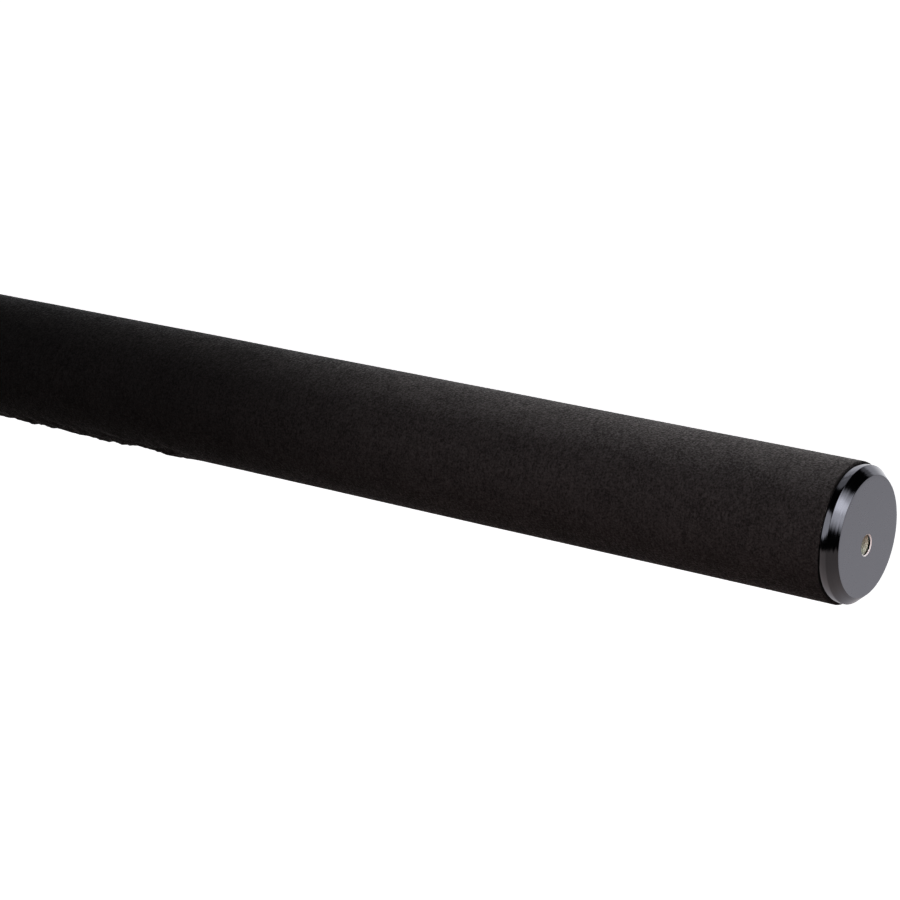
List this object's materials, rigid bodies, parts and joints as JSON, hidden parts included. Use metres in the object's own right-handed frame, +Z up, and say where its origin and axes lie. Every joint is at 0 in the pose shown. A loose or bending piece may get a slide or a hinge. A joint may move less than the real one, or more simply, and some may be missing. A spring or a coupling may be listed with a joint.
{
  "type": "telescopic boom pole",
  "caption": "Telescopic microphone boom pole with a foam hand grip, twist-lock collars between nested tubes, a screw-in base cap with a cable hole and a threaded tip stud.",
  "frame": {"origin": "centre of the base tube's rear end, on the pole's axis, where the foam grip begins", "axes": "+X along the pole from the base cap to the tip stud, +Z up, with the cap's off-centre hole below the axis"},
  "size_m": [0.8406, 0.0418, 0.0418],
  "materials": {
    "grip_foam": "matte",
    "cap_anodised": "satin",
    "insert_aluminium": "satin",
    "tube_anodised": "satin",
    "fitting_anodised": "satin",
    "seal_rubber": "matte",
    "grip_rubber": "matte",
    "nylon": "satin",
    "brass": "satin",
    "felt": "matte",
    "stud_steel": "satin"
  },
  "bodies": {
    "handle": {"end_cap": "cap_anodised", "cap_seal": "seal_rubber", "base_insert": "insert_aluminium", "foam_grip": "grip_foam", "tube_1": "tube_anodised", "ferrule_1": "fitting_anodised", "front_bush_1": "nylon", "collet_1": "nylon"},
    "section_2": {"tube_2": "tube_anodised", "guide_bush_2": "nylon", "ferrule_2": "fitting_anodised", "front_bush_2": "nylon", "collet_2": "nylon"},
    "section_3": {"tube_3": "tube_anodised", "guide_bush_3": "nylon", "ferrule_3": "fitting_anodised", "front_bush_3": "nylon", "collet_3": "nylon"},
    "section_4": {"tube_4": "tube_anodised", "guide_bush_4": "nylon", "ferrule_4": "fitting_anodised", "front_bush_4": "nylon", "collet_4": "nylon"},
    "section_5": {"tube_5": "tube_anodised", "guide_bush_5": "nylon", "tip_plug": "fitting_anodised", "tip_washer": "seal_rubber", "tip_stud": "stud_steel"},
    "cone_1": {"cone_ring_1": "brass"},
    "collar_1": {"lock_collar_1": "fitting_anodised", "collar_grip_1": "grip_rubber", "wiper_ring_1": "felt"},
    "cone_2": {"cone_ring_2": "brass"},
    "collar_2": {"lock_collar_2": "fitting_anodised", "collar_grip_2": "grip_rubber", "wiper_ring_2": "felt"},
    "cone_3": {"cone_ring_3": "brass"},
    "collar_3": {"lock_collar_3": "fitting_anodised", "collar_grip_3": "grip_rubber", "wiper_ring_3": "felt"},
    "cone_4": {"cone_ring_4": "brass"},
    "collar_4": {"lock_collar_4": "fitting_anodised", "collar_grip_4": "grip_rubber", "wiper_ring_4": "felt"}
  },
  "joints": [
    {"name": "section_2_slide", "type": "slide", "parent": "handle", "child": "section_2", "axis": [1, 0, 0], "range_m": [0, 0.5802]},
    {"name": "section_3_slide", "type": "slide", "parent": "section_2", "child": "section_3", "axis": [1, 0, 0], "range_m": [0, 0.6091]},
    {"name": "section_4_slide", "type": "slide", "parent": "section_3", "child": "section_4", "axis": [1, 0, 0], "range_m": [0, 0.638]},
    {"name": "section_5_slide", "type": "slide", "parent": "section_4", "child": "section_5", "axis": [1, 0, 0], "range_m": [0, 0.6669]},
    {"name": "cone_1_shift", "type": "slide", "parent": "handle", "child": "cone_1", "axis": [1, 0, 0], "range_m": [0, 0.001]},
    {"name": "collar_1_twist", "type": "hinge", "parent": "cone_1", "child": "collar_1", "pos_m": [0.66, 0, 0], "axis": [1, 0, 0], "range_deg": [0, 180]},
    {"name": "cone_2_shift", "type": "slide", "parent": "section_2", "child": "cone_2", "axis": [1, 0, 0], "range_m": [0, 0.001]},
    {"name": "collar_2_twist", "type": "hinge", "parent": "cone_2", "child": "collar_2", "pos_m": [0.7009, 0, 0], "axis": [1, 0, 0], "range_deg": [0, 180]},
    {"name": "cone_3_shift", "type": "slide", "parent": "section_3", "child": "cone_3", "axis": [1, 0, 0], "range_m": [0, 0.001]},
    {"name": "collar_3_twist", "type": "hinge", "parent": "cone_3", "child": "collar_3", "pos_m": [0.7418, 0, 0], "axis": [1, 0, 0], "range_deg": [0, 180]},
    {"name": "cone_4_shift", "type": "slide", "parent": "section_4", "child": "cone_4", "axis": [1, 0, 0], "range_m": [0, 0.001]},
    {"name": "collar_4_twist", "type": "hinge", "parent": "cone_4", "child": "collar_4", "pos_m": [0.7827, 0, 0], "axis": [1, 0, 0], "range_deg": [0, 180]}
  ],
  "couplings": [
    {"joint": "cone_1_shift", "follows": "collar_1_twist", "m_per_rad": 0.0003183},
    {"joint": "cone_2_shift", "follows": "collar_2_twist", "m_per_rad": 0.0003183},
    {"joint": "cone_3_shift", "follows": "collar_3_twist", "m_per_rad": 0.0003183},
    {"joint": "cone_4_shift", "follows": "collar_4_twist", "m_per_rad": 0.0003183}
  ]
}
